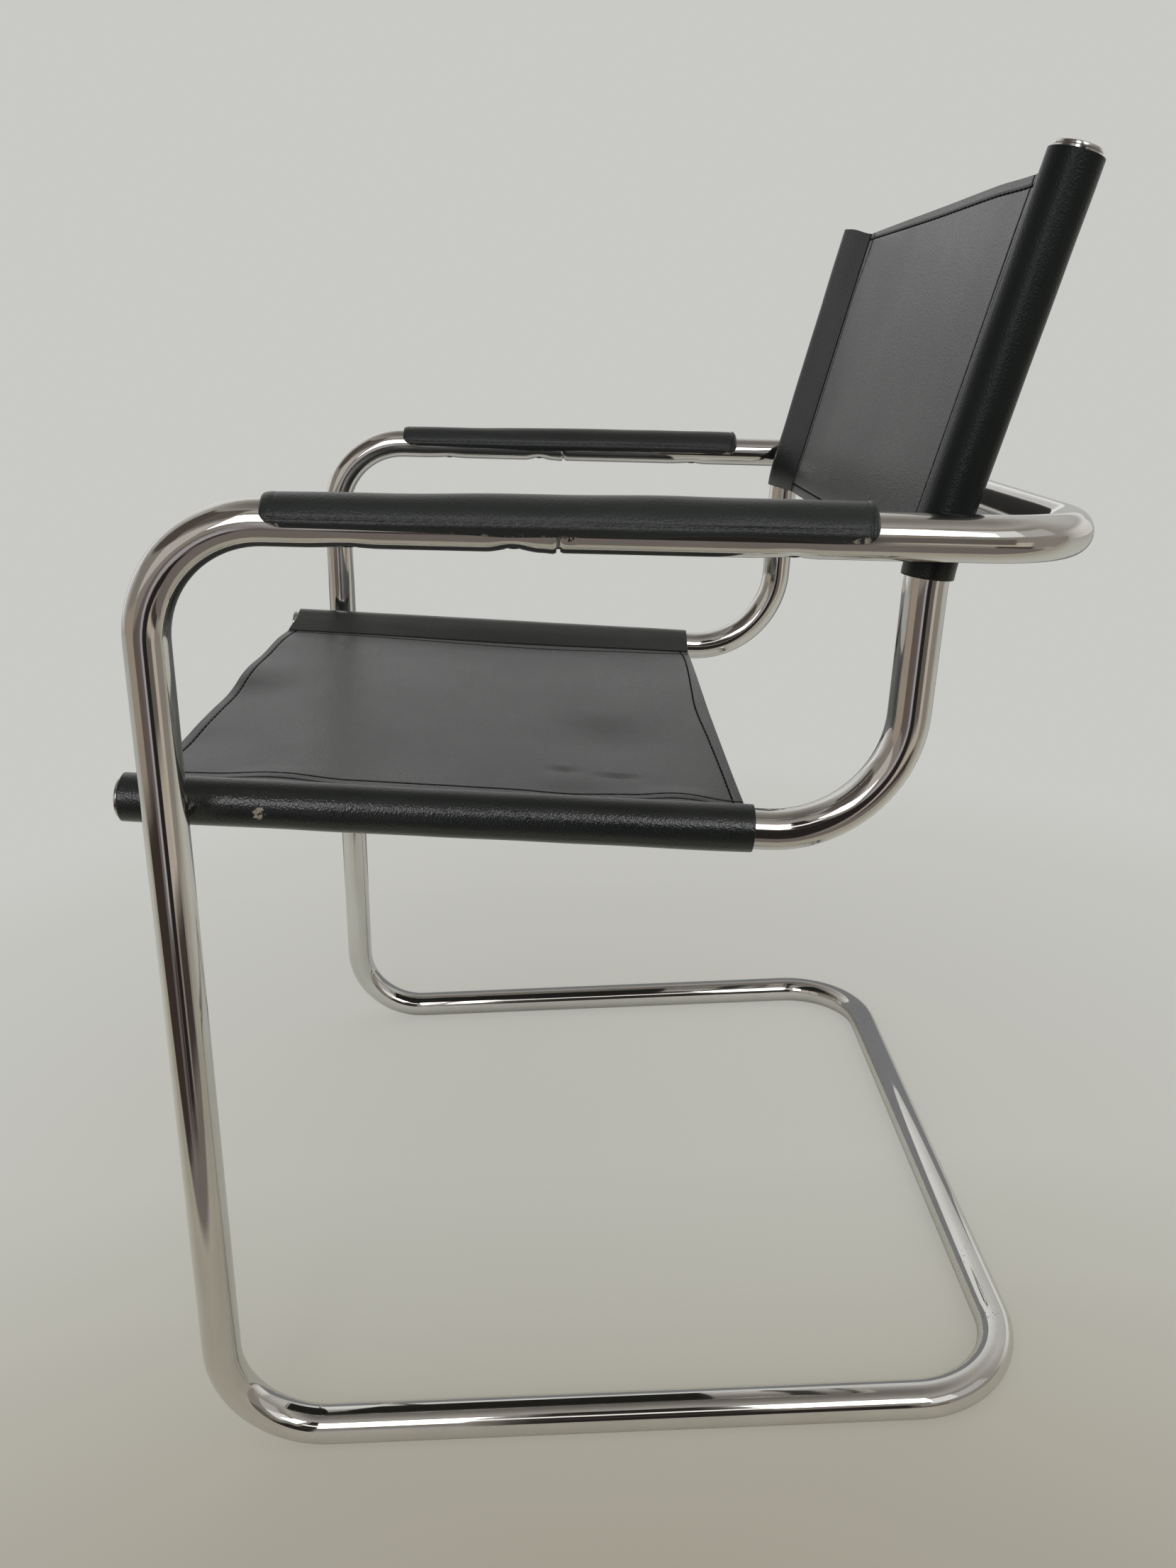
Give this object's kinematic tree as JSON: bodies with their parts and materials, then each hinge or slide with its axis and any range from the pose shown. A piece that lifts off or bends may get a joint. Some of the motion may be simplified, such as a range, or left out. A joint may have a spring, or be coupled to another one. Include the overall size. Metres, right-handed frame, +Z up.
{
  "type": "cantilever lounge chair",
  "caption": "Cantilever lounge chair of bent round steel tube with slung leather seat and back and leather arm pads.",
  "frame": {"origin": "on the floor, under the middle of the chair's box", "axes": "+Z up, X along the width, the chair faces -Y"},
  "size_m": [0.6004, 0.5712, 0.7838],
  "materials": {
    "chrome_tube": "polished chrome plate",
    "cap_steel": "polished, lightly rubbed",
    "zinc_steel": "satin zinc plate",
    "black_leather": "smooth saddle leather, soft sheen",
    "dark_plastic": "matt moulded"
  },
  "bodies": {
    "root": {"front_frame_tube": "chrome_tube", "rear_arm_loop": "chrome_tube", "arm_splice_right": "zinc_steel", "arm_splice_left": "zinc_steel", "side_tube_right": "chrome_tube", "side_tube_left": "chrome_tube", "seat_end_cap_right": "cap_steel", "seat_end_cap_left": "cap_steel", "back_end_cap_right": "cap_steel", "back_end_cap_left": "cap_steel", "seat_sling": "black_leather", "back_sling": "black_leather", "arm_pad_core_right": "dark_plastic", "arm_pad_core_left": "dark_plastic", "arm_pad_cover_right": "black_leather", "arm_pad_cover_left": "black_leather", "arm_pad_screw_right_front": "zinc_steel", "arm_pad_screw_right_middle": "zinc_steel", "arm_pad_screw_right_rear": "zinc_steel", "arm_pad_screw_left_front": "zinc_steel", "arm_pad_screw_left_middle": "zinc_steel", "arm_pad_screw_left_rear": "zinc_steel", "seat_bolt_right": "zinc_steel", "seat_bolt_left": "zinc_steel", "seat_nut_right": "zinc_steel", "seat_nut_left": "zinc_steel", "seat_spacer_right": "chrome_tube", "seat_spacer_left": "chrome_tube", "back_bolt_right": "zinc_steel", "back_bolt_left": "zinc_steel", "back_nut_right": "zinc_steel", "back_nut_left": "zinc_steel", "back_spacer_right": "chrome_tube", "back_spacer_left": "chrome_tube"}
  },
  "joints": []
}
